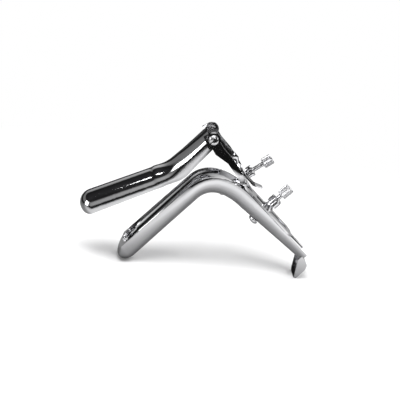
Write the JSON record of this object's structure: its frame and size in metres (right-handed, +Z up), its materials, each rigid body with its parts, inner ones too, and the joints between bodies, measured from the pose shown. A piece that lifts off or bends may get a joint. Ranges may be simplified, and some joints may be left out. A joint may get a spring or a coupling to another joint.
{
  "type": "bivalve speculum",
  "caption": "Bivalve speculum with two pressed trough blades, a half-tube handle, a slotted yoke and two threaded rods with thumb nuts, open and resting on nose and foot tab.",
  "frame": {"origin": "centre of the overall box, on the floor that the nose and the foot tab stand on", "axes": "+Z up, blades towards -X, handle towards +X, Y along the pivot"},
  "size_m": [0.1748, 0.0436, 0.1072],
  "materials": {
    "sheet": "mirror-polished stainless sheet",
    "turned": "polished turned stainless steel",
    "knurl": "satin, finely knurled stainless steel"
  },
  "bodies": {
    "lower": {"lower_blade": "sheet", "height_bolt": "turned", "height_collar": "turned", "height_cap": "knurl", "bend_rivet": "turned"},
    "yoke_frame": {"yoke": "sheet", "pivot_screw_left": "turned", "pivot_screw_right": "turned", "pivot_washer_left": "turned", "pivot_washer_right": "turned", "pivot_nut_left": "turned", "pivot_nut_right": "turned", "angle_rod": "turned", "angle_collar": "turned", "angle_cap": "knurl"},
    "upper": {"upper_blade": "sheet", "thumb_lever": "sheet", "lever_rivets": "turned"},
    "height_clamp": {"height_washer": "turned"},
    "height_thumb_nut": {"height_nut": "turned"},
    "angle_stop": {"angle_washer": "turned"},
    "angle_thumb_nut": {"angle_nut": "turned"}
  },
  "joints": [
    {"name": "yoke_slide", "type": "slide", "parent": "lower", "child": "yoke_frame", "axis": [-0.7581, 0, 0.6521], "range_m": [0, 0.018]},
    {"name": "blade_hinge", "type": "hinge", "parent": "yoke_frame", "child": "upper", "pos_m": [0.00389, -0.00125, 0.10204], "axis": [0, 1, 0], "range_deg": [-10, 0.3]},
    {"name": "height_clamp_slide", "type": "slide", "parent": "lower", "child": "height_clamp", "axis": [0.6521, 0, 0.7581], "range_m": [0, 0.0036]},
    {"name": "height_nut_spin", "type": "hinge", "parent": "height_clamp", "child": "height_thumb_nut", "pos_m": [0.05696, -0.00125, 0.05639], "axis": [0.6521, 0, 0.7581], "range_deg": [0, 1800]},
    {"name": "angle_stop_slide", "type": "slide", "parent": "yoke_frame", "child": "angle_stop", "axis": [0.7738, 0, 0.6334], "range_m": [0, 0.009]},
    {"name": "angle_nut_spin", "type": "hinge", "parent": "angle_stop", "child": "angle_thumb_nut", "pos_m": [0.0326, 0.01335, 0.06917], "axis": [0.7738, 0, 0.6334], "range_deg": [0, 4600]}
  ],
  "couplings": [
    {"joint": "height_clamp_slide", "follows": "height_nut_spin", "m_per_rad": 0.00011141},
    {"joint": "angle_stop_slide", "follows": "angle_nut_spin", "m_per_rad": 0.00011141},
    {"joint": "blade_hinge", "follows": "angle_nut_spin", "ratio": -0.00215}
  ]
}
